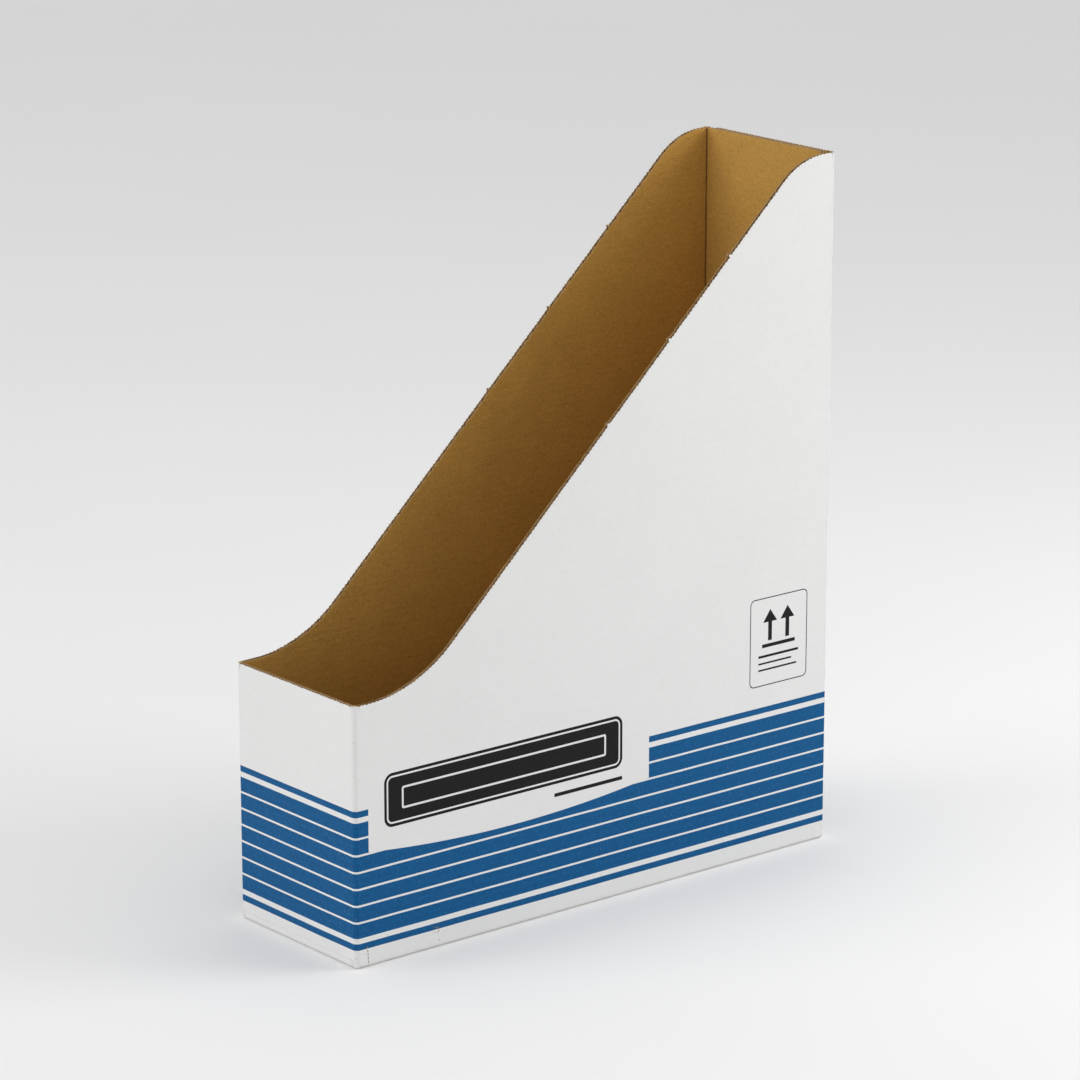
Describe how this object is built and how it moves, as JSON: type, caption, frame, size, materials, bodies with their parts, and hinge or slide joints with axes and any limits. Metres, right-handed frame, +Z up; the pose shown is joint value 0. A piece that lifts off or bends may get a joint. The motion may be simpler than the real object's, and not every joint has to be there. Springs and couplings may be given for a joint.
{
  "type": "magazine file holder",
  "caption": "Upright magazine file folded from white-faced corrugated board, open at the top and cut away in a slope to a low front, with striped foot and a finger hole in the spine.",
  "frame": {"origin": "on the surface it stands on, under the middle of the box", "axes": "+X to the right side seen from the low front, +Y towards the spine, +Z up"},
  "size_m": [0.08, 0.258, 0.306],
  "materials": {
    "white_liner": "matte printed",
    "fluted_medium": "raw",
    "kraft_liner": "raw",
    "crease_board": "matte, crushed",
    "glue": "dried adhesive"
  },
  "bodies": {
    "right_side": {"right_side_outer_liner": "white_liner", "right_side_medium": "fluted_medium", "right_side_inner_liner": "kraft_liner", "crease_front_right": "crease_board", "crease_rear_right": "crease_board", "crease_base_right": "crease_board"},
    "front_panel": {"front_outer_liner": "white_liner", "front_medium": "fluted_medium", "front_inner_liner": "kraft_liner", "crease_front_left": "crease_board", "crease_base_front": "crease_board"},
    "left_side": {"left_side_outer_liner": "white_liner", "left_side_medium": "fluted_medium", "left_side_inner_liner": "kraft_liner", "crease_rear_left": "crease_board", "crease_base_left": "crease_board"},
    "spine": {"inner_spine_outer_liner": "white_liner", "inner_spine_medium": "fluted_medium", "inner_spine_inner_liner": "kraft_liner", "outer_spine_outer_liner": "white_liner", "outer_spine_medium": "fluted_medium", "outer_spine_inner_liner": "kraft_liner", "crease_base_rear": "crease_board", "spine_glue": "glue"},
    "base_outer_flap": {"base_outer_flap_outer_liner": "white_liner", "base_outer_flap_medium": "fluted_medium", "base_outer_flap_inner_liner": "kraft_liner"},
    "base_inner_flap": {"base_inner_flap_outer_liner": "white_liner", "base_inner_flap_medium": "fluted_medium", "base_inner_flap_inner_liner": "kraft_liner"},
    "front_dust_flap": {"front_dust_flap_outer_liner": "white_liner", "front_dust_flap_medium": "fluted_medium", "front_dust_flap_inner_liner": "kraft_liner"},
    "rear_dust_flap": {"rear_dust_flap_outer_liner": "white_liner", "rear_dust_flap_medium": "fluted_medium", "rear_dust_flap_inner_liner": "kraft_liner"}
  },
  "joints": [
    {"name": "front_fold", "type": "hinge", "parent": "right_side", "child": "front_panel", "pos_m": [0.038, -0.127, 0], "axis": [0, 0, -1], "range_deg": [0, 88], "deforming": ["crease_front_right"]},
    {"name": "left_fold", "type": "hinge", "parent": "front_panel", "child": "left_side", "pos_m": [-0.038, -0.127, 0], "axis": [0, 0, 1], "range_deg": [0, 88], "deforming": ["crease_front_left"]},
    {"name": "spine_fold", "type": "hinge", "parent": "left_side", "child": "spine", "pos_m": [-0.038, 0.1249, 0], "axis": [0, 0, -1], "range_deg": [0, 88], "deforming": ["crease_rear_left", "crease_rear_right"]},
    {"name": "outer_flap_fold", "type": "hinge", "parent": "right_side", "child": "base_outer_flap", "pos_m": [0.038, 0, 0.002], "axis": [0, -1, 0], "range_deg": [0, 88], "deforming": ["crease_base_right"]},
    {"name": "inner_flap_fold", "type": "hinge", "parent": "left_side", "child": "base_inner_flap", "pos_m": [-0.038, 0, 0.0041], "axis": [0, 1, 0], "range_deg": [0, 88], "deforming": ["crease_base_left"]},
    {"name": "front_dust_flap_fold", "type": "hinge", "parent": "front_panel", "child": "front_dust_flap", "pos_m": [0, -0.127, 0.0041], "axis": [-1, 0, 0], "range_deg": [0, 88], "deforming": ["crease_base_front"]},
    {"name": "rear_dust_flap_fold", "type": "hinge", "parent": "spine", "child": "rear_dust_flap", "pos_m": [0, 0.1249, 0.0041], "axis": [1, 0, 0], "range_deg": [0, 88], "deforming": ["crease_base_rear"]}
  ],
  "couplings": [
    {"joint": "left_fold", "follows": "front_fold", "ratio": 1},
    {"joint": "spine_fold", "follows": "front_fold", "ratio": 1},
    {"joint": "outer_flap_fold", "follows": "front_fold", "ratio": 1},
    {"joint": "inner_flap_fold", "follows": "front_fold", "ratio": 1},
    {"joint": "front_dust_flap_fold", "follows": "front_fold", "ratio": 1},
    {"joint": "rear_dust_flap_fold", "follows": "front_fold", "ratio": 1}
  ]
}
